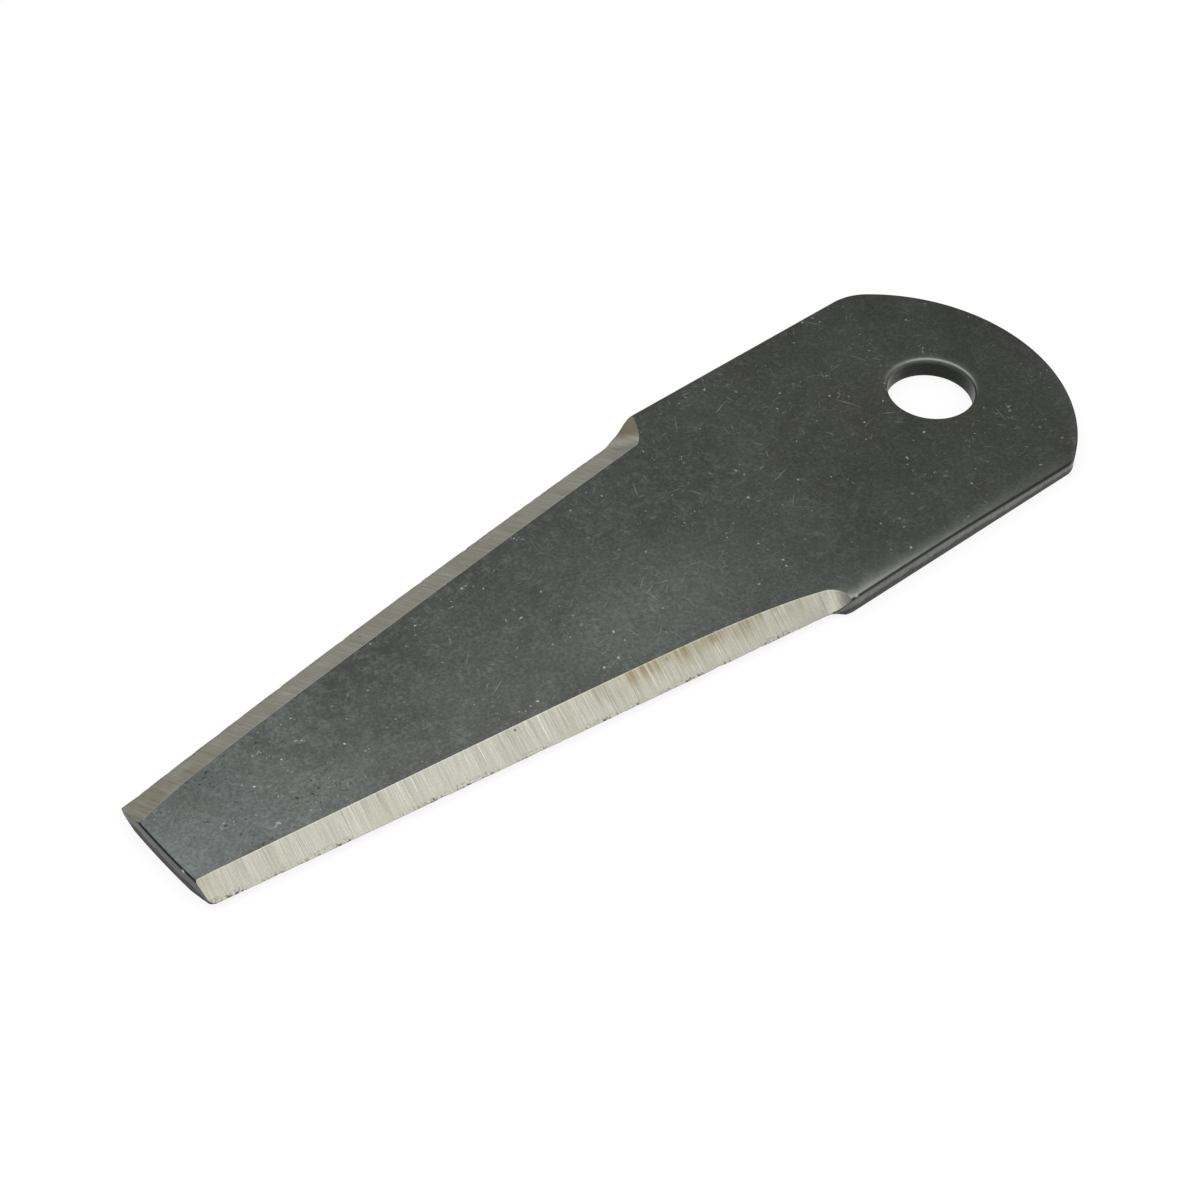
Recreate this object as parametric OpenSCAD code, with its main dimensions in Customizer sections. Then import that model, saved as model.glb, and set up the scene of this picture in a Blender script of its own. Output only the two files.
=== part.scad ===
// Rotary mower blade: one flat plate of hardened steel, punched from strip. Its rounded heel
// has a bolt hole that it swings on, and both long edges are ground sharp down to the tip.
// Origin at the centre of the bolt hole on the underside, +X out to the tip, +Z up.

/* [Blank] */
// Width across the parallel sides of the shank
shank_w = 60; // [50:1:80]
// Thickness of the plate
plate_t = 4; // [3:0.25:6]
// Bolt-hole centre to the middle of the rounded heel
heel_reach = 23.8; // [20:0.2:30]
// How far the straight sides run behind the bolt-hole centre, up to the heel's corners
side_reach = 7; // [2:0.5:10]
// Radius of the corners between the sides and the rounded heel
heel_corner_r = 11; // [4:0.5:14]
// Bolt-hole centre to the middle of the tip, which is an arc about the bolt hole
tip_reach = 174.6; // [130:0.2:220]

/* [Bolt hole] */
// Diameter of the bolt hole
bolt_d = 16.5; // [12:0.5:22]
// Height of the rolled break around the top of the bolt hole
rim_break = 0.5; // [0.2:0.1:1]

/* [Shoulders] */
// Bolt-hole centre to the shoulders, where the parallel sides stop
shoulder_reach = 50.6; // [40:0.2:70]
// Step inwards from the side to the cutting edge
shoulder_step = 1; // [0.6:0.1:3]
// Radius of the hollow curve under the shoulder
shoulder_r = 3; // [2:0.5:6]

/* [Cutting edges] */
// Width across the cutting edges at the tip
tip_w = 25.4; // [20:0.2:40]
// Height of the cutting edges above the underside
edge_z = 1.3; // [0.8:0.1:2]
// Width of the ground bevel on the upper side
bevel_w = 5.4; // [3:0.2:8]
// Width of the ground relief on the underside
relief_w = 4.5; // [3:0.1:6]
// Shoulder to the start of the full bevel
bevel_lead = 2.4; // [1:0.2:6]
// Radius of the hollow in which the bevels run out at the shoulder
runout_r = 4; // [3:0.5:8]

/* [Hidden] */
$fn = 128;
// How far a cut runs past the surface that it opens
cut_over = 4;
// Steel left outside the cutting edge on the punched blank, and ground off with the bevels
grind_stock = 0.15;
// How far the heel's corner circles reach over the side and the heel's arc, which trim them
corner_lap = 0.02;
half_w = shank_w / 2;
// Heel: one arc through the heel's middle and both ends of the sides
heel_rise = heel_reach - side_reach;
heel_r = (half_w * half_w + heel_rise * heel_rise) / (2 * heel_rise);
heel_x = heel_r - heel_reach;
// Heel corners: circles that touch a side and the heel's arc from within
corner_y = half_w - heel_corner_r;
corner_gap = sqrt(pow(heel_r - heel_corner_r, 2) - pow(corner_y, 2));
corner_x = heel_x - corner_gap;
// Half width of the heel's arc, up to where it meets the corners
arc_half_w = heel_r * corner_y / (heel_r - heel_corner_r);
// Cutting edge: a straight line from the shoulder to the corner of the tip
edge_y = half_w - shoulder_step;
tip_corner_x = sqrt(tip_reach * tip_reach - tip_w * tip_w / 4);
edge_run = tip_corner_x - shoulder_reach;
edge_fall = edge_y - tip_w / 2;
edge_len = norm([edge_run, edge_fall]);
edge_taper = atan2(edge_fall, edge_run);
// Angles of the two ground faces that meet in the cutting edge
bevel_angle = atan2(plate_t - edge_z, bevel_w);
relief_angle = atan2(edge_z, relief_w);
// Shoulder curve, along the cutting edge and square to it: it starts at the side's end
// and runs tangent into the line of the blank
side_end = [-shoulder_step * sin(edge_taper), shoulder_step * cos(edge_taper)];
step_h = side_end[1] - grind_stock;
shoulder_end = side_end[0] + sqrt(step_h * (2 * shoulder_r - step_h));

// Rounded heel: the heel's arc and its two corners
module heel_outline() {
    intersection() {
        translate([heel_x, 0]) circle(heel_r);
        translate([-heel_reach, -half_w]) square([heel_r, shank_w]);
        union() {
            translate([-heel_reach, -arc_half_w]) square([heel_r, 2 * arc_half_w]);
            for (side = [-1, 1])
                translate([corner_x, side * corner_y]) circle(heel_corner_r + corner_lap);
        }
    }
}

// Everything inside one tapered edge of the blank, with the hollow curve at its shoulder
module inside_edge() {
    curve_y = grind_stock + shoulder_r;
    far_l = edge_len + cut_over;
    translate([shoulder_reach, edge_y]) rotate(-edge_taper) difference() {
        polygon([[-tip_reach, -2 * shank_w], [-tip_reach, curve_y], [shoulder_end, curve_y],
                 [shoulder_end, grind_stock], [far_l, grind_stock], [far_l, -2 * shank_w]]);
        translate([shoulder_end, curve_y]) circle(shoulder_r);
    }
}

// Parallel-sided shank and tapered working length, cut off in an arc at the tip
module working_outline() {
    intersection() {
        translate([corner_x, -half_w]) square([tip_reach + cut_over - corner_x, shank_w]);
        inside_edge();
        mirror([0, 1]) inside_edge();
        circle(tip_reach);
    }
}

// Plate as punched, before its edges are ground
module blank() {
    linear_extrude(plate_t) {
        heel_outline();
        working_outline();
    }
}

// Wheel that grinds one face: flat from the bevel's start on, rounded at its shoulder end.
// The flat passes through the cutting edge and rises inwards at the given angle.
module grinding_wheel(angle) {
    wheel_h = plate_t + 2 * runout_r;
    wheel_l = edge_len + cut_over;
    reach_out = shoulder_step + cut_over;
    rotate([90 - angle, 0, 0]) translate([0, 0, -reach_out])
        linear_extrude(reach_out + plate_t / sin(angle)) {
            translate([bevel_lead, runout_r]) circle(runout_r);
            translate([bevel_lead, 0]) square([wheel_l, wheel_h]);
            translate([bevel_lead - runout_r, runout_r]) square([wheel_l, wheel_h - runout_r]);
        }
}

// Bevel and relief of both cutting edges
module ground_faces() {
    for (side = [0, 1])
        mirror([0, side]) translate([shoulder_reach, edge_y, edge_z]) rotate(-edge_taper) {
            grinding_wheel(bevel_angle);
            mirror([0, 0, 1]) grinding_wheel(relief_angle);
        }
}

// Punched bolt hole with a rolled rim on the upper side
module bolt_hole() {
    translate([0, 0, -cut_over]) cylinder(d = bolt_d, h = plate_t + 2 * cut_over);
    translate([0, 0, plate_t - rim_break])
        cylinder(r1 = bolt_d / 2, r2 = bolt_d / 2 + rim_break + cut_over, h = rim_break + cut_over);
}

// The whole blade: blackened plate steel with bright ground edges
module blade() {
    color("#4a4e4c") difference() {
        blank();
        bolt_hole();
        ground_faces();
    }
}

blade();
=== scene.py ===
import bpy
import numpy as np
from mathutils import Matrix


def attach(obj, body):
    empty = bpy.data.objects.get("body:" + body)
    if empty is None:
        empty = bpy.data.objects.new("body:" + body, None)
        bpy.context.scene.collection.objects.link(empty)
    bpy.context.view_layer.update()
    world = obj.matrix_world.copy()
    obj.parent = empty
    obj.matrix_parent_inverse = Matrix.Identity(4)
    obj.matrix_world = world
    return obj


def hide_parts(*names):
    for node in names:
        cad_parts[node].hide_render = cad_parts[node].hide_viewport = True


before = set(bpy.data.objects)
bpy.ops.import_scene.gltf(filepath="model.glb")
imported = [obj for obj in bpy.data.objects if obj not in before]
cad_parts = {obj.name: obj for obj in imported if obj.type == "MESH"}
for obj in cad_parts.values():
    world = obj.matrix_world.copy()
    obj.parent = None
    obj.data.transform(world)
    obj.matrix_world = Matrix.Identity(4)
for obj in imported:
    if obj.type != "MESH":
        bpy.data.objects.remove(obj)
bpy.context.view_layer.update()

# The blank: 60 x 4 mm spring-steel strip, punched in one stroke to a rounded heel, parallel sides,
# a small shoulder and a long taper. All sizes are millimetres about the bolt hole, with +X to the
# tip and +Y to the near side.
MM = 0.001
NEAR, FAR = 1.0, -1.0
PLATE_T = 4.0
HALF_W = 30.0
TIP_REACH = 174.6
HEEL_R, HEEL_X = 35.186, 11.386
HEEL_CORNER_R = {NEAR: 4.5, FAR: 11.0}
# Shoulder end of the straight edge line, and the angle at which the line runs in towards the tip
EDGE_X, EDGE_Y = 50.6, 29.0
EDGE_TAPER = np.arctan2(16.3, 123.538)
# Start and length of the S-curve at the shoulder, and reach of the round at the tip's corner
SHOULDER_X = {NEAR: 49.5, FAR: 48.6}
SHOULDER_RUN = {NEAR: 4.3, FAR: 5.8}
TIP_CORNER = {NEAR: 1.1, FAR: 0.35}
# Length of the cutting edges, and how far each bows out from its straight line
EDGE_LENGTH = 125.0
NEAR_BOW, FAR_BOW = 0.24, 0.68
# Points along the side, the tip, the heel's corner and the heel of one half of the outline
SIDE_POINTS, TIP_POINTS, CORNER_POINTS, HEEL_POINTS = 9000, 900, 400, 900


def edge_coordinates(x, y):
    """Along the cutting edge from the shoulder, and inwards from it: the plan, turned by the
    taper."""
    dx, dy = x - EDGE_X, np.abs(y) - EDGE_Y
    along = dx * np.cos(EDGE_TAPER) - dy * np.sin(EDGE_TAPER)
    inward = -dx * np.sin(EDGE_TAPER) - dy * np.cos(EDGE_TAPER)
    return along, inward


def edge_bow(along, side):
    """How far the hand-guided grinding leaves the cutting edge outside its straight line: a flat
    power curve on the near edge and a parabola on the far one."""
    near = NEAR_BOW * (1.0 - np.clip(along / EDGE_LENGTH, 0.0, 1.0) ** 6)
    far = FAR_BOW * np.clip(1.0 - ((along - 63.0) / 58.0) ** 2, 0.0, None)
    return np.where(side > 0.0, near, far)


def smooth_step(t):
    """Cubic 3t2 - 2t3 between 0 and 1, flat outside."""
    t = np.clip(t, 0.0, 1.0)
    return t * t * (3.0 - 2.0 * t)


def bell(offset, width):
    """Bell curve: the exponential of minus the square of the offset over the width."""
    return np.exp(-(offset / width) ** 2)


def half_outline(side):
    """Plan outline of one half, from the middle of the tip along the cutting edge, the shoulder,
    the side and the heel's corner to the middle of the heel: y is a function of x up to the heel,
    where two arcs follow, and the tip's corner is a parabola between its two legs."""
    corner_r = HEEL_CORNER_R[side]
    corner_x = HEEL_X - np.sqrt((HEEL_R - corner_r) ** 2 - (HALF_W - corner_r) ** 2)
    x = np.linspace(TIP_REACH, corner_x, SIDE_POINTS)
    run = x - EDGE_X
    cut = EDGE_Y - run * np.tan(EDGE_TAPER) + edge_bow(run / np.cos(EDGE_TAPER), side)
    y = HALF_W + (cut - HALF_W) * smooth_step((x - SHOULDER_X[side]) / SHOULDER_RUN[side])
    inside = np.hypot(x, y) < TIP_REACH
    x, y = x[inside], y[inside]
    tip_y = np.linspace(0.0, y[0], TIP_POINTS)[:-1]
    x = np.concatenate([np.sqrt(TIP_REACH ** 2 - tip_y ** 2), x])
    y = np.concatenate([tip_y, y])
    run = np.concatenate([[0.0], np.cumsum(np.hypot(np.diff(x), np.diff(y)))])
    leg, turn = TIP_CORNER[side], run[len(tip_y)]
    t = np.clip((run - turn + leg) / (2.0 * leg), 0.0, 1.0)
    ends = [np.interp(turn + k * leg, run, c) for c in (x, y) for k in (-1, 0, 1)]
    bent_x, bent_y = [(1 - t) ** 2 * a + 2 * t * (1 - t) * b + t * t * c
                      for a, b, c in (ends[:3], ends[3:])]
    near_turn = np.abs(run - turn) < leg
    x, y = np.where(near_turn, bent_x, x), np.where(near_turn, bent_y, y)
    meet = np.arctan2(HALF_W - corner_r, HEEL_X - corner_x)
    corner = np.linspace(np.pi / 2, np.pi - meet, CORNER_POINTS)[1:]
    heel = np.linspace(np.pi - meet, np.pi, HEEL_POINTS)[1:]
    x = np.concatenate([x, corner_x + corner_r * np.cos(corner), HEEL_X + HEEL_R * np.cos(heel)])
    y = np.concatenate([y, HALF_W - corner_r + corner_r * np.sin(corner), HEEL_R * np.sin(heel)])
    return x, y * side


def whole_outline(columns):
    """Both halves joined into one loop from the tip round by the near side, and shared out into
    columns by length, with more of them at the shoulders, the heel's corners and the tip."""
    near_x, near_y = half_outline(NEAR)
    far_x, far_y = half_outline(FAR)
    x = np.concatenate([near_x, far_x[-2:0:-1], near_x[:1]])
    y = np.concatenate([near_y, far_y[-2:0:-1], near_y[:1]])
    step = np.hypot(np.diff(x), np.diff(y))
    mid_x, mid_y = (x[1:] + x[:-1]) / 2, np.abs(y[1:] + y[:-1]) / 2
    shoulders = 3.0 * bell(mid_x - 51.5, 3.5)
    heel_corners = 3.0 * bell(mid_x + 7.0, 3.0)
    tip_corners = 9.0 * bell(mid_x - 174.0, 1.5) * bell(mid_y - 12.6, 1.2)
    tip = 1.5 * bell(mid_x - 174.4, 0.6)
    weight = 1.0 + shoulders + heel_corners + tip_corners + tip
    count = np.concatenate([[0.0], np.cumsum(step * weight)])
    at = np.interp(np.arange(columns) * count[-1] / columns, count, np.arange(len(x)))
    return np.interp(at, np.arange(len(x)), x), np.interp(at, np.arange(len(y)), y)


# The grinding: both long edges are ground to a bevel above and a relief below, by hand, so that the
# near bevel gets steeper towards its shoulder and the far one runs wider towards the tip.
NEAR_EDGE_Z, FAR_EDGE_Z = 1.25, 1.5
NEAR_RELIEF_W, FAR_RELIEF_W = 5.6, 4.4


def bevel_width(along, side):
    """Distance from the straight edge line to the crease with the flat: a line with an exponential
    fall towards the shoulder on the near side, and exponential flares at both ends on the far
    side."""
    from_shoulder = np.clip(along, 0.0, None)
    near = 6.0 - 0.0158 * along - 3.6 * np.exp(-from_shoulder / 14.0)
    far = 4.55 + 0.95 * np.exp(-from_shoulder / 35.0)
    to_tip = np.clip(along, 0.0, EDGE_LENGTH + 2.0) - EDGE_LENGTH
    far = far + 1.6 * np.exp(to_tip / 10.0)
    return np.where(side > 0.0, near, far)


def bevel_runout(along, inward, side):
    """How far the wheel's round end stands off the bevel at the shoulder: it starts on a slanted
    line and rises as a parabola, nearly a straight ramp on the far side."""
    t_near = np.clip(4.3 - along - 0.5 * inward, 0.0, None)
    t_far = np.clip(8.0 - along - 0.75 * inward, 0.0, None)
    near = t_near ** 2 / 8.2
    far = 0.27 * t_far ** 2 / (t_far + 1.5) + 0.003 * t_far ** 2
    return np.where(side > 0.0, near, far)


def ground_heights(x, y):
    """Heights of the bevel and of the relief over the plan: two planes through the cutting edge,
    each with its run-out at the shoulder, which is a parabola below as well. Also gives the place
    along the edge and the distance inwards from it."""
    side = np.where(y >= 0.0, NEAR, FAR)
    along, inward = edge_coordinates(x, y)
    edge_z = np.where(side > 0.0, NEAR_EDGE_Z, FAR_EDGE_Z)
    bow = edge_bow(along, side)
    depth = inward + bow
    rise = (PLATE_T - edge_z) / (bevel_width(along, side) + bow)
    bevel = edge_z + depth * rise + bevel_runout(along, inward, side)
    fall = edge_z / np.where(side > 0.0, NEAR_RELIEF_W, FAR_RELIEF_W)
    relief = edge_z - depth * fall - 0.071 * np.clip(5.0 - along, 0.0, None) ** 2
    return bevel, relief, along, depth


# The plate: one piece of hardened spring steel, whose upper edges the punch has rolled round. It is
# one closed surface: a loop of rows is carried round the outline, up the hole's wall, over its
# rolled rim, across the face, over the edge and back along the underside.
HOLE_R, RIM_R = 8.25, 0.55
EDGE_ROUND, FOOT_ROUND = 0.38, 0.08
# Width of the die roll, and its depth all round, at the near shoulder and along the near heel
ROLL_W = 2.4
ROLL_H, SHOULDER_ROLL_H, HEEL_ROLL_H = 0.06, 0.27, 1.05
# Height of the blunt land on the cutting edge, and how fast the two ground faces part from there
BLUNT, PARTING = 0.1, 0.75
CHIPS, CHIP_SEED = 46, 11
COLUMNS = 1300
# The finishes in the order of the mesh's material slots
SKIN, GROUND, SHEARED = 0, 1, 2


def cutting_chips(x, y, rng):
    """Depth of the small chips along both cutting edges: bell curves at seeded places."""
    along, inward = edge_coordinates(x, y)
    at = rng.uniform(4.0, 122.0, (2, CHIPS))
    deep = rng.uniform(0.02, 0.2, (2, CHIPS)) * rng.uniform(0.2, 1.0, (2, CHIPS))
    wide = rng.uniform(0.25, 0.7, (2, CHIPS))
    row = np.where(y >= 0.0, 0, 1)
    chips = deep[row] * bell(along[:, None] - at[row], wide[row])
    on_edge = (inward < 0.5) & (along > 3.0) & (along < 123.0)
    return np.where(on_edge, chips.sum(1), 0.0)


def blade_grid():
    """Rows of polar distances from the hole's centre, one set for each column of the outline, and
    their heights: the lower of the face and the bevel above, the higher of the underside and the
    relief below. Returns the points, the finish of each quad and the marks of every point."""
    x, y = whole_outline(COLUMNS)
    tx, ty = np.roll(x, -1) - np.roll(x, 1), np.roll(y, -1) - np.roll(y, 1)
    reach = np.hypot(x, y)
    ux, uy = x / reach, y / reach
    # Turns a polar distance into one square to the outline: the sine of the angle between them
    square = np.clip((ux * ty - uy * tx) / np.hypot(tx, ty), 0.15, 1.0)
    # 1 where the two ground faces meet in a cutting edge, and 0 where the side stays as punched
    bevel, relief, _, _ = ground_heights(x, y)
    sharp = smooth_step((0.9 - (bevel - relief)) / 0.8)
    blunted = BLUNT / PARTING + cutting_chips(x, y, np.random.default_rng(CHIP_SEED))
    reach = reach - sharp * blunted / square
    # Die roll: shallow all round, deeper by the near shoulder and deepest along the near heel
    near_shank = smooth_step((y - 5.0) / 10.0) * smooth_step((60.0 - x) / 6.0)
    near_heel = smooth_step((32.0 - x) / 42.0) * smooth_step((y - 27.0) / 2.5)
    roll_h = ROLL_H + SHOULDER_ROLL_H * np.exp(-np.abs(x - 50.0) / 34.0) * near_shank
    roll_h = roll_h + HEEL_ROLL_H * near_heel

    def upper(rho, tight=True):
        """Face height with the die roll, a parabola, and the tight round at the very edge, and the
        height of the bevel."""
        off = np.clip((reach - rho) * square, 0.0, None)
        face = PLATE_T - roll_h * np.clip(1.0 - off / ROLL_W, 0.0, None) ** 2
        over = np.clip(EDGE_ROUND - off, 0.0, EDGE_ROUND)
        face = face - tight * (EDGE_ROUND - np.sqrt(EDGE_ROUND ** 2 - over ** 2))
        return face, ground_heights(rho * ux, rho * uy)[0]

    def lower(rho):
        """Height of the flat underside with a small round at the punched edge, and of the
        relief."""
        over = np.clip(FOOT_ROUND - (reach - rho) * square, 0.0, FOOT_ROUND)
        sole = FOOT_ROUND - np.sqrt(FOOT_ROUND ** 2 - over ** 2)
        return sole, ground_heights(rho * ux, rho * uy)[1]

    def first_cut(gap, margin):
        """Polar distance at which a ground face first cuts the flat on the way out: the first of
        700 steps where the gap turns positive, then that step halved 30 times."""
        start = HOLE_R + 1.2
        rho = start + np.linspace(0.0, 1.0, 700)[:, None] * (reach - start)
        past = gap(rho) > 0.0
        first = np.maximum(past.argmax(0), 1)
        hi = rho[first, np.arange(COLUMNS)]
        lo = rho[first - 1, np.arange(COLUMNS)]
        for _ in range(30):
            mid = (lo + hi) / 2
            inside = gap(mid) > 0.0
            lo, hi = np.where(inside, lo, mid), np.where(inside, mid, hi)
        return np.minimum(np.where(past.any(0), hi, reach), reach - margin / square)

    crease = first_cut(lambda rho: np.subtract(*upper(rho, tight=False)), EDGE_ROUND + 0.3)
    heel_line = first_cut(lambda rho: -np.subtract(*lower(rho)), FOOT_ROUND + 0.1)
    rows, heights, group = [], [], []

    def add_row(rho, z, name):
        """One more ring of the loop."""
        rows.append(np.broadcast_to(rho, reach.shape))
        heights.append(np.broadcast_to(z, reach.shape))
        group.append(name)

    # Hole: a small round below, the wall, and the rolled rim above
    for t in np.linspace(0.0, np.pi / 2, 4):
        add_row(HOLE_R + FOOT_ROUND * (1 - np.sin(t)), FOOT_ROUND * (1 - np.cos(t)), "hole")
    for t in (0.2, 0.5, 0.8):
        add_row(HOLE_R, FOOT_ROUND + t * (PLATE_T - RIM_R - FOOT_ROUND), "hole")
    for t in np.linspace(0.0, np.pi / 2, 8):
        add_row(HOLE_R + RIM_R * (1 - np.cos(t)), PLATE_T - RIM_R * (1 - np.sin(t)), "rim")
    # Face out to the crease, closer together over the die roll, then the bevel and the tight round
    rim = HOLE_R + RIM_R + 0.1
    last = np.maximum(crease - ROLL_W / square, rim + 0.5)
    for t in (0.0, 0.02, 0.1, 0.3, 0.55, 0.8, 1.0):
        rho = rim + t * (last - rim)
        add_row(rho, np.minimum(*upper(rho)), "face")
    for t in (0.22, 0.42, 0.6, 0.75, 0.87, 0.95, 0.975):
        rho = last + t * (crease - last)
        add_row(rho, np.minimum(*upper(rho)), "face")
    brink = reach - EDGE_ROUND / square
    for t in (0.0, 0.02, 0.08, 0.25, 0.5, 0.75, 0.92):
        rho = crease + t * (brink - crease)
        add_row(rho, np.minimum(*upper(rho)), "bevel")
    for t in np.sin(np.linspace(0.0, np.pi / 2, 7)):
        rho = brink + t * (reach - brink)
        add_row(rho, np.minimum(*upper(rho)), "edge")
    # Side, torn back a little below, then the relief and the underside
    top_z = heights[-1]
    foot = reach - 0.03 * (1.0 - sharp) / square
    foot_z = np.minimum(np.maximum(*lower(reach)), top_z - 0.04)
    for t in (0.04, 0.09, 0.16, 0.34, 0.5, 0.64, 0.8, 0.95, 1.0):
        rho = reach + smooth_step((t - 0.4) / 0.6) * (foot - reach)
        add_row(rho, top_z + t * (foot_z - top_z), "side")
    sole = foot - FOOT_ROUND / square
    for t in (0.1, 0.3, 0.6, 1.0):
        rho = foot + t * (sole - foot)
        add_row(rho, np.minimum(np.maximum(*lower(rho + reach - foot)), top_z - 0.03), "relief")
    heel_line = np.minimum(heel_line, sole - 0.02)
    for t in (0.25, 0.5, 0.75, 0.93, 1.0):
        rho = sole + t * (heel_line - sole)
        add_row(rho, np.minimum(np.maximum(*lower(rho)), top_z - 0.03), "relief")
    for t in (0.04, 0.25, 0.5, 0.75, 0.95):
        add_row(heel_line + t * (HOLE_R + 0.3 - heel_line), 0.0, "under")

    # Finish of each quad: ground where a ground face has cut, sheared on the walls, else skin
    rho, z, group = np.array(rows), np.array(heights), np.array(group)
    points = np.stack([rho * ux, rho * uy, z], -1)
    between = (rho + np.roll(rho, -1, 0)) / 2
    face, bevel = upper(between)
    sole_z, relief = lower(between)
    is_top, is_low = np.isin(group, ("bevel", "edge")), group == "relief"
    cut = is_top[:, None] & (bevel < face) | is_low[:, None] & (relief > sole_z)
    into = np.roll(group, -1)
    walls = ((group == "side") & (into != "under") | (into == "side"))[:, None]
    unground = sharp < 0.85
    finish = np.where(cut & np.roll(cut, -1, 1), GROUND, SKIN)
    finish = np.where(walls, np.where(unground, SHEARED, GROUND), finish)

    # Place on the ground faces, and their share of the bevel's width
    px, py = points[..., 0], points[..., 1]
    _, _, along, depth = ground_heights(px, py)
    side = np.where(py >= 0.0, NEAR, FAR)
    share = depth / np.maximum(bevel_width(along, side) + edge_bow(along, side), 0.5)
    # Painted shade: a dark line along the punched top edge and under it on the side, and a
    # darker wall in the hole
    off = (reach - rho) * square
    plain = 1.0 - smooth_step((face - bevel) / 0.2)
    is_edge, is_side, is_hole = [(group == name)[:, None] for name in ("edge", "side", "hole")]
    dark = is_edge * plain * np.clip(1.3 - 1.5 * off / EDGE_ROUND, 0.0, 0.9)
    dark = dark + is_side * unground * np.clip(1.1 - (top_z - z) / 0.4, 0.0, 0.9)
    dark = np.maximum(dark, 0.7 * is_hole)
    # Two bright nicks, at the tip's edge and at the near shoulder
    nick = bell(px - 174.4, 2.0) * bell(py - 5.7, 0.26) * bell(z - 3.5, 0.2)
    nick = nick + 0.6 * bell(px - 49.3, 0.28) * bell(py - 29.9, 0.3) * (z > 3.4)
    # Painted highlight: along the near shank's die roll, and on the hole's rim towards the heel
    off = np.clip(off, 0.0, None)
    on_top = np.isin(group, ("face", "bevel", "edge"))[:, None]
    painted_highlight = 0.75 * np.exp(-off / 0.7) + 0.35 * np.exp(-off / 1.6) * (off < 6.0)
    painted_highlight = on_top * near_shank * painted_highlight * np.exp(-np.abs(px - 50.0) / 30.0)
    rim_highlight = bell(rho - HOLE_R - 0.35, 0.45) * (z > PLATE_T - RIM_R)
    painted_highlight = np.maximum(painted_highlight, 0.42 * rim_highlight * smooth_step(0.3 - (0.68 * px + 0.73 * py) / rho))
    # How far down the side, from its own top
    down = np.clip((top_z - z) / top_z, 0.0, 1.0)
    # Painted shade in the run-out hollows at the shoulders, and where grinding heat has stained
    # the steel
    near_hollow = 0.6 * smooth_step((2.6 - along - 0.5 * depth) / 3.0)
    far_hollow = smooth_step((6.3 - along - 0.75 * depth) / 4.0)
    hollow = np.where(side > 0.0, near_hollow, far_hollow)
    near_straw = smooth_step((along - 4.0) / 8.0) * smooth_step((62.0 - along) / 25.0)
    near_straw = near_straw * smooth_step((share - 0.3) / 0.6)
    near_straw = np.maximum(near_straw, 0.7 * smooth_step((along - 121.5) / 2.5))
    far_straw = 0.3 + 0.35 * smooth_step((along - 90.0) / 25.0)
    straw = np.where(side > 0.0, near_straw, far_straw)
    # The far edge's places start at 300, so that its pattern differs from the near one's
    return points, finish, {
        "along": along + 300.0 * (side < 0.0), "depth": depth, "share": share, "down": down,
        "painted_edge_shade": dark, "nick": nick, "painted_highlight": painted_highlight, "hollow": hollow, "straw": straw}


def blade_mesh():
    """Quads between neighbouring rows and columns, both closed into rings."""
    points, finish, marks = blade_grid()
    n_rows, n_cols = points.shape[:2]
    r, c = np.meshgrid(np.arange(n_rows), np.arange(n_cols), indexing="ij")
    r2, c2 = (r + 1) % n_rows, (c + 1) % n_cols
    quads = np.stack([r * n_cols + c, r2 * n_cols + c, r2 * n_cols + c2, r * n_cols + c2], -1)
    mesh = bpy.data.meshes.new("blade_steel_plate")
    mesh.from_pydata((points.reshape(-1, 3) * MM).tolist(), [], quads.reshape(-1, 4).tolist())
    mesh.polygons.foreach_set("material_index", finish.astype(np.int32).ravel())
    mesh.polygons.foreach_set("use_smooth", np.ones(len(mesh.polygons), dtype=bool))
    for name, values in marks.items():
        values = np.broadcast_to(values, points.shape[:2]).astype(np.float32)
        mesh.attributes.new(name, "FLOAT", "POINT").data.foreach_set("value", values.ravel())
    mesh.update()
    return mesh


blade = bpy.data.objects.new("blade_plate", blade_mesh())
bpy.context.scene.collection.objects.link(blade)
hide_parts("blade")
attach(blade, "root")


# Blackened skin: hot-rolled spring steel, hardened and tempered in oil, so that a thin dark oxide
# stays on it. It gives a dark satin grey, a little green, with dust specks and rubbed scratches.
# On it are painted light and shade: a lighter face towards the tip, highlights on the near
# shank's edge and the hole's rim, and a dark line along the punched edges.
# Colour of the painted shade along the punched edges and in the hole
PAINTED_SHADE = "#1A1B19"
RUBBED_OXIDE = "#A2A59E"


def linear(code):
    """sRGB hex code to linear RGBA: the sRGB power curve on each channel."""
    c = np.array([int(code[i:i + 2], 16) for i in (1, 3, 5)]) / 255.0
    c = np.where(c <= 0.04045, c / 12.92, ((c + 0.055) / 1.055) ** 2.4)
    return (*c.tolist(), 1.0)


def put(tree, kind, *values, **settings):
    """Adds one node with its settings and fills its inputs in order: a socket is linked, a hex code
    becomes a colour, and None leaves an input as it is. Returns the node's first output in use."""
    node = tree.nodes.new("ShaderNode" + kind)
    for name, value in settings.items():
        setattr(node, name, value)
    for socket, value in zip([socket for socket in node.inputs if socket.enabled], values):
        if isinstance(value, bpy.types.NodeSocket):
            tree.links.new(value, socket)
        elif value is not None:
            socket.default_value = linear(value) if isinstance(value, str) else value
    return next(out for out in node.outputs if out.enabled)


def new_steel(name):
    """An empty node material with its shader set to metal."""
    material = bpy.data.materials.new(name)
    material.use_nodes = True
    shader = material.node_tree.nodes["Principled BSDF"]
    shader.inputs["Metallic"].default_value = 1.0
    return material, material.node_tree, shader


def per_m(size_mm):
    """Texture scale for a pattern of that size in millimetres, on coordinates in metres."""
    return 1000.0 / size_mm


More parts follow.
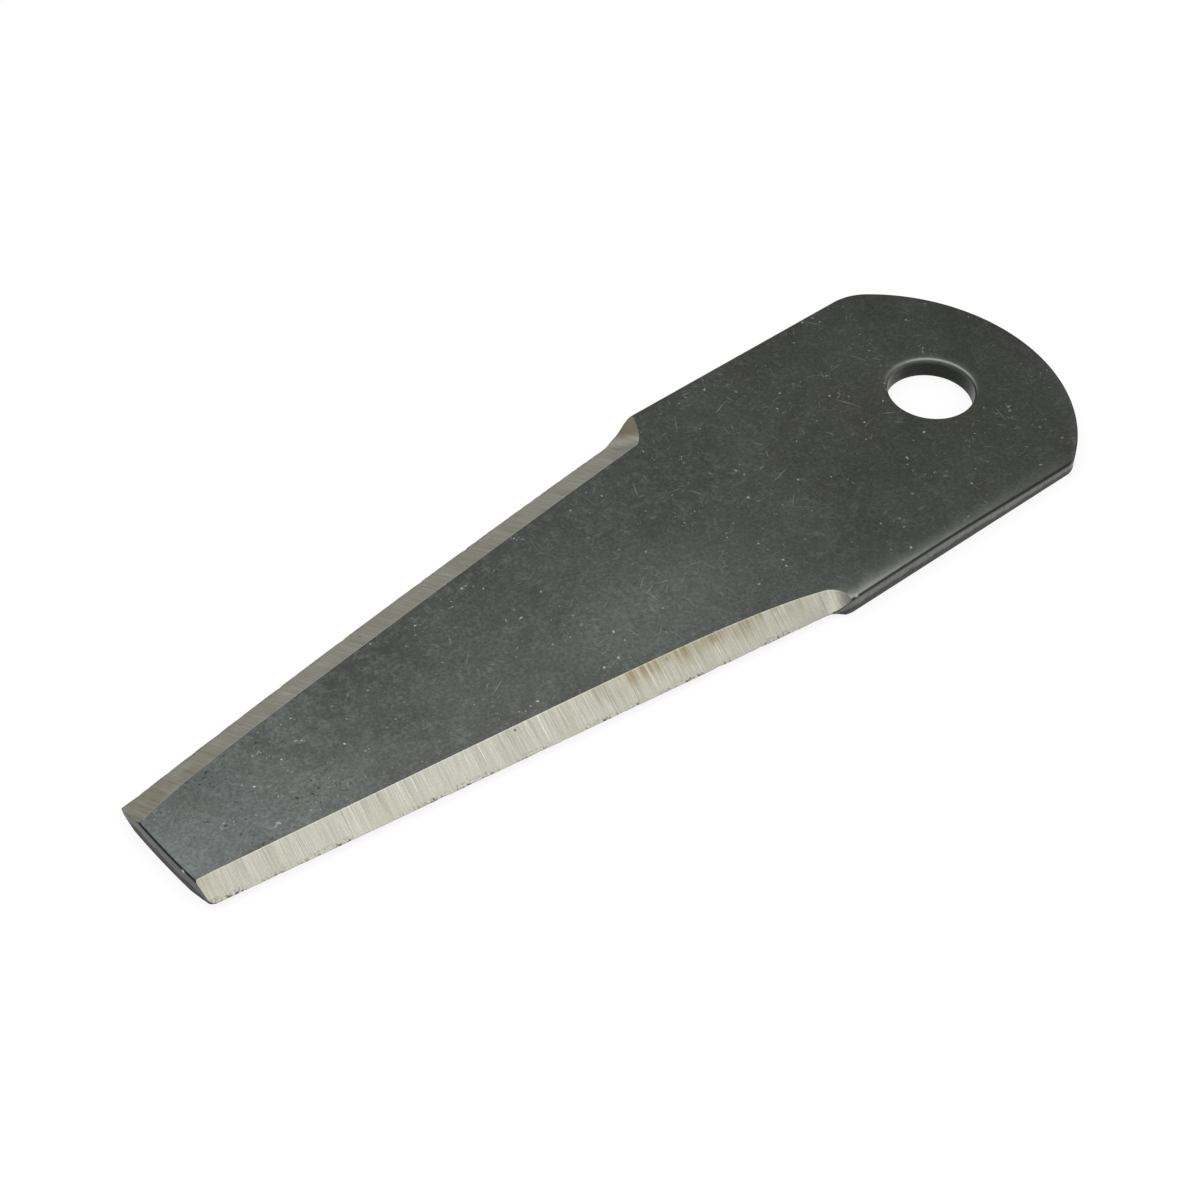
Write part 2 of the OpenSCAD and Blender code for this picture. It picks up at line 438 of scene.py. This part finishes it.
def cloudy(where, scale, low, high, least=0.0, most=1.0, detail=3.0, rough=0.6):
    """Cloudy cover: fractal noise through a straight ramp between two of its values."""
    clouds = put(where.id_data, "TexNoise", where, scale, detail, rough)
    return put(where.id_data, "MapRange", clouds, low, high, least, most)


def both(first, *others):
    """Cover that is left where all of the given covers are: their product."""
    for other in others:
        first = put(first.id_data, "Math", first, other, operation="MULTIPLY")
    return first


def specks(where, scale, share, radius):
    """Round spots in a share of the cells of a flat Voronoi pattern, of random sizes up to the
    radius, which is given in cells."""
    tree = where.id_data
    cells = put(tree, "TexVoronoi", where, scale, voronoi_dimensions="2D").node
    pick = put(tree, "SeparateColor", cells.outputs["Color"])
    size = put(tree, "MapRange", pick, 1.0 - share, 1.0, 0.0, radius)
    edge = put(tree, "Math", size, cells.outputs["Distance"], operation="SUBTRACT")
    return put(tree, "MapRange", edge, 0.0, radius * 0.35)


def scratches(where, scale, length, fine):
    """Short straight scratches, one in some of the cells of a flat Voronoi pattern and each turned
    its own way: strong where the distances across and along it, in metres, are both small."""
    tree = where.id_data
    cells = put(tree, "TexVoronoi", where, scale, voronoi_dimensions="2D").node
    pick = put(tree, "SeparateColor", cells.outputs["Color"]).node.outputs
    local = put(tree, "VectorMath", where, cells.outputs["Position"], operation="SUBTRACT")
    turn = put(tree, "Math", pick[0], 2.0 * np.pi, operation="MULTIPLY")
    local = put(tree, "VectorRotate", local, None, turn, rotation_type="Z_AXIS")
    lengthwise, across = [put(tree, "Math", way, operation="ABSOLUTE")
                          for way in put(tree, "SeparateXYZ", local).node.outputs[:2]]
    return both(put(tree, "MapRange", across, 0.0, fine, 1.0, 0.0),
                put(tree, "MapRange", lengthwise, 0.2 * length, length, 1.0, 0.0),
                put(tree, "MapRange", pick[1], 0.5, 1.0))


skin, tree, shader = new_steel("blackened_spring_steel")
place = put(tree, "TexCoord").node.outputs["Object"]
to_tip, to_near = put(tree, "SeparateXYZ", place).node.outputs[:2]
# Places shifted by up to 0.6 mm, which make round specks ragged like crumbs
shifted = put(tree, "TexNoise", place, per_m(0.5), 2.0).node.outputs["Color"]
crumbs = put(tree, "VectorMath", shifted, [0.6 * MM] * 3, place, operation="MULTIPLY_ADD")
# An oval patch that was rubbed most, 80 mm out and 8 mm to the near side, about 50 x 25 mm
rubbed = put(tree, "Mapping", place, (-3.6, -0.72, 0.0), None, (45.0, 90.0, 0.0))
rubbed = put(tree, "VectorMath", rubbed, operation="LENGTH")
rubbed = put(tree, "MapRange", rubbed, 0.0, 1.15, 1.0, 0.0)
worn = both(cloudy(place, per_m(13), 0.40, 0.58, detail=2.0),
            put(tree, "MapRange", to_tip, 0.09, 0.15, 0.62, 0.25))
dusty = cloudy(place, per_m(17), 0.38, 0.58, 0.3, 1.0, detail=1.0)
tone = cloudy(place, per_m(26), 0.3, 0.7, detail=4.0)
tone = put(tree, "Mix", tone, "#444743", "#525652", data_type="RGBA")
for cover, colour in (
        # Painted light: the face lighter towards the tip and over the near half of the working
        # length, where it reflects more light
        (both(put(tree, "MapRange", to_tip, 0.130, 0.174),
              put(tree, "MapRange", to_near, -0.006, 0.006, 0.55, 1.0)), "#6A6F70"),
        (both(put(tree, "MapRange", to_near, -0.012, 0.016),
              put(tree, "MapRange", to_tip, 0.035, 0.065, 0.0, 0.56)), "#666B67"),
        # Brown bloom, pale mottling and dark grain
        (cloudy(place, per_m(11), 0.48, 0.7, 0.0, 0.5), "#4A463F"),
        (both(cloudy(place, per_m(2.4), 0.48, 0.8, 0.0, 0.5, 5.0, 0.7),
              put(tree, "MapRange", to_tip, 0.015, 0.06, 0.5, 1.0)), "#71756F"),
        (cloudy(place, per_m(0.6), 0.35, 0.65, 0.42, 0.0, rough=0.7), "#2C2D2B"),
        # The rubbed patch, long and short scratches, and more of them on the patch
        (both(rubbed, cloudy(place, per_m(1.3), 0.4, 0.7, 0.0, 0.55, 5.0, 0.8)), "#787C76"),
        (both(scratches(place, per_m(7.0), 2.6 * MM, 0.12 * MM), worn), RUBBED_OXIDE),
        (both(scratches(place, per_m(3.1), 1.1 * MM, 0.1 * MM), worn), RUBBED_OXIDE),
        (both(scratches(place, per_m(2.1), 2.0 * MM, 0.11 * MM), rubbed, 0.9), "#9C9F98"),
        # Smears of dust, crumbs and fine specks
        (both(cloudy(place, per_m(0.9), 0.66, 0.74, detail=2.0), dusty,
              cloudy(place, per_m(5.0), 0.5, 0.62, detail=1.0), 0.8), "#A9ABA4"),
        (both(specks(crumbs, per_m(3.4), 0.2, 0.095), dusty, 0.7), "#BDBFB8"),
        (both(specks(crumbs, per_m(1.5), 0.24, 0.12), dusty, 0.3), RUBBED_OXIDE),
        # Dark pits near the tip
        (both(cloudy(place, per_m(0.75), 0.62, 0.69, detail=2.0),
              cloudy(place, per_m(7.0), 0.46, 0.6, detail=1.0),
              put(tree, "MapRange", to_tip, 0.115, 0.15)), "#2A2B29"),
        # Marks that follow the edges: a painted highlight on the near shank's die roll and the
        # hole's rim, painted shade along the punched edges and in the hole, and bright nicks
        (put(tree, "Attribute", attribute_name="painted_highlight"), "#A2A49D"),
        # Painted shade along the punched edges and in the hole
        (put(tree, "Attribute", attribute_name="painted_edge_shade"), PAINTED_SHADE),
        (put(tree, "Attribute", attribute_name="nick"), "#D8D8D2")):
    tone = put(tree, "Mix", cover, tone, colour, data_type="RGBA")
tree.links.new(tone, shader.inputs["Base Color"])
tree.links.new(cloudy(place, per_m(6), 0.3, 0.7, 0.32, 0.42), shader.inputs["Roughness"])


# Ground faces: bare steel off a coarse wheel that was drawn across the edge. Bright and slightly
# warm, with lines square to the edge, straw-brown heat stains and a speckled cutting edge. The
# lines, really about 0.1 mm apart, are drawn at 0.2 to 0.3 mm so that they show.
def per_mm(size_mm):
    """Texture scale for a pattern of that size in millimetres, on marks in millimetres."""
    return 1.0 / size_mm


ground, tree, shader = new_steel("coarse_ground_steel")
along, depth, share, straw, hollow = [
    put(tree, "Attribute", attribute_name=name)
    for name in ("along", "depth", "share", "straw", "hollow")]
strokes = put(tree, "CombineXYZ", along, both(depth, 0.02))
patch = put(tree, "CombineXYZ", along, depth)
steel = cloudy(strokes, per_mm(0.2), 0.3, 0.7, rough=0.7)
steel = put(tree, "Mix", steel, "#949388", "#BDBCB1", data_type="RGBA")
for cover, colour in (
        # Broad dull bands, bright and dark lines, and a fine grain
        (cloudy(strokes, per_mm(5.0), 0.45, 0.75, 0.0, 0.4), "#908D80"),
        (cloudy(strokes, per_mm(0.28), 0.64, 0.73, 0.0, 0.7, 2.0), "#E2E1D8"),
        (cloudy(strokes, per_mm(0.22), 0.60, 0.72, 0.0, 0.7, 2.0), "#777468"),
        (cloudy(patch, per_mm(0.3), 0.35, 0.65, 0.3, 0.0), "#84816F"),
        # Heat stains, and painted shade in the run-out hollows at the shoulders
        (both(straw, cloudy(strokes, per_mm(1.4), 0.34, 0.62, 0.0, 0.95, 4.0, 0.75),
              cloudy(patch, per_mm(6.0), 0.38, 0.56, 0.1, 1.0, 2.0)), "#7C704E"),
        (both(hollow, 0.9), "#6C6656"),
        # A few pits, dark specks along the cutting edge, and a painted highlight along the crease
        (both(specks(patch, per_mm(6.0), 0.3, 0.05), 0.8), "#514D42"),
        (both(put(tree, "MapRange", depth, 0.15, 0.95, 1.0, 0.0),
              cloudy(patch, per_mm(0.55), 0.5, 0.59),
              put(tree, "MapRange", along, 6.0, 14.0),
              cloudy(patch, per_mm(9.0), 0.42, 0.56, detail=1.0)), "#48443A"),
        (put(tree, "MapRange", share, 0.96, 0.985, 0.0, 0.25), "#D8D7CC")):
    steel = put(tree, "Mix", cover, steel, colour, data_type="RGBA")
tree.links.new(steel, shader.inputs["Base Color"])
tree.links.new(cloudy(strokes, per_mm(0.3), 0.3, 0.7, 0.36, 0.5), shader.inputs["Roughness"])

# Punched sides: the same blackened steel, sheared by the die. It is smooth and rubbed above, where
# the punch went in, and torn and duller below, with fine streaks down its height.
sheared, tree, shader = new_steel("sheared_blackened_steel")
place = put(tree, "TexCoord").node.outputs["Object"]
to_tip = put(tree, "SeparateXYZ", place)
torn = put(tree, "Math", put(tree, "Attribute", attribute_name="down"),
           cloudy(place, per_m(2.5), 0.3, 0.7, -0.12, 0.12), operation="ADD")
streaks = put(tree, "Mapping", place, None, None, (1.0, 1.0, 0.12))
tone = put(tree, "MapRange", torn, 0.4, 0.62)
tone = put(tree, "Mix", tone, "#6C6F68", "#4C4E49", data_type="RGBA")
for cover, colour in (
        # The tip's end, darker, the streaks, and the marks that follow the edges
        (put(tree, "MapRange", to_tip, 0.168, 0.1725, 0.0, 0.9), "#393A37"),
        (cloudy(streaks, per_m(0.5), 0.45, 0.7, 0.0, 0.5), "#3A3B37"),
        # Painted shade: the dark line under the punched top edge
        (put(tree, "Attribute", attribute_name="painted_edge_shade"), PAINTED_SHADE),
        (put(tree, "Attribute", attribute_name="nick"), "#E8E8E2")):
    tone = put(tree, "Mix", cover, tone, colour, data_type="RGBA")
tree.links.new(tone, shader.inputs["Base Color"])
tree.links.new(put(tree, "MapRange", torn, 0.42, 0.58, 0.34, 0.55), shader.inputs["Roughness"])

for finish in (skin, ground, sheared):
    blade.data.materials.append(finish)

# The floor: a plain white sweep of paper that the blade lies on. To the eye and in reflections it
# is mostly white by itself, and the rest of it takes the light and the blade's soft shadow.
FLOOR_HALF, FLOOR_Z = 3.0, -0.00005
SELF_WHITE = 0.85
floor_mesh = bpy.data.meshes.new("floor")
corners = np.array([[-1, -1], [1, -1], [1, 1], [-1, 1]]) * FLOOR_HALF
floor_mesh.from_pydata([(px, py, FLOOR_Z) for px, py in corners], [], [(0, 1, 2, 3)])
floor = bpy.data.objects.new("floor", floor_mesh)
bpy.context.scene.collection.objects.link(floor)
paper = bpy.data.materials.new("white_paper")
paper.use_nodes = True
tree = paper.node_tree
shader = tree.nodes["Principled BSDF"]
shader.inputs["Base Color"].default_value = linear("#F2F2F2")
shader.inputs["Roughness"].default_value = 0.9
rays = put(tree, "LightPath").node.outputs
seen = put(tree, "Math", rays["Is Camera Ray"], rays["Is Glossy Ray"], operation="ADD")
seen = put(tree, "Math", seen, rays["Is Transmission Ray"], operation="ADD")
white = put(tree, "Emission", "#FFFFFF", 1.0)
white = put(tree, "MixShader", both(seen, SELF_WHITE), shader.outputs[0], white)
tree.links.new(white, tree.nodes["Material Output"].inputs["Surface"])
floor_mesh.materials.append(paper)

# The studio: one big softbox overhead, in a room whose walls are light on the near side, dimmer on
# the far side and in between higher up.
studio = bpy.data.worlds.new("studio")
bpy.context.scene.world = studio
studio.use_nodes = True
tree = studio.node_tree
_, to_near, to_top = put(tree, "SeparateXYZ", put(tree, "TexCoord")).node.outputs
low_wall = put(tree, "MapRange", to_near, -0.5, 0.5, 0.3, 0.9)
wall = put(tree, "Mix", put(tree, "MapRange", to_top, 0.15, 0.5), low_wall, 0.62)
tree.nodes["Background"].inputs["Color"].default_value = linear("#FFFFFF")
tree.links.new(wall, tree.nodes["Background"].inputs["Strength"])
softbox_light = bpy.data.lights.new("softbox", "AREA")
softbox_light.shape = "RECTANGLE"
softbox_light.size, softbox_light.size_y = 1.25, 2.1
softbox_light.energy = 11.5
softbox = bpy.data.objects.new("softbox", softbox_light)
softbox.location = (0.125, 0.05, 1.0)
bpy.context.scene.collection.objects.link(softbox)

# The camera: about half a metre off, beyond the tip and on the near side, looking down at the blade
# and rolled a little. Its place and lens were fitted to the blade's straight sides and its hole.
AIM = np.array([82.253, -0.314, 0.0])
TOWARDS = np.array([0.47499, 0.51230, 0.71549])
DISTANCE, ROLL = 482.43, np.radians(2.592)
LENS, SENSOR_W = 82.62, 36.0
camera_data = bpy.data.cameras.new("camera")
camera_data.lens, camera_data.sensor_width = LENS, SENSOR_W
camera = bpy.data.objects.new("camera", camera_data)
right = np.cross(-TOWARDS, (0.0, 0.0, 1.0))
right /= np.linalg.norm(right)
up = np.cross(right, -TOWARDS)
turned = np.eye(4)
turned[:3, 0] = right * np.cos(ROLL) + up * np.sin(ROLL)
turned[:3, 1] = up * np.cos(ROLL) - right * np.sin(ROLL)
turned[:3, 2] = TOWARDS
turned[:3, 3] = (AIM + TOWARDS * DISTANCE) * MM
camera.matrix_world = Matrix(turned.tolist())
bpy.context.scene.collection.objects.link(camera)
bpy.context.scene.camera = camera
bpy.context.scene.view_settings.view_transform = "Standard"
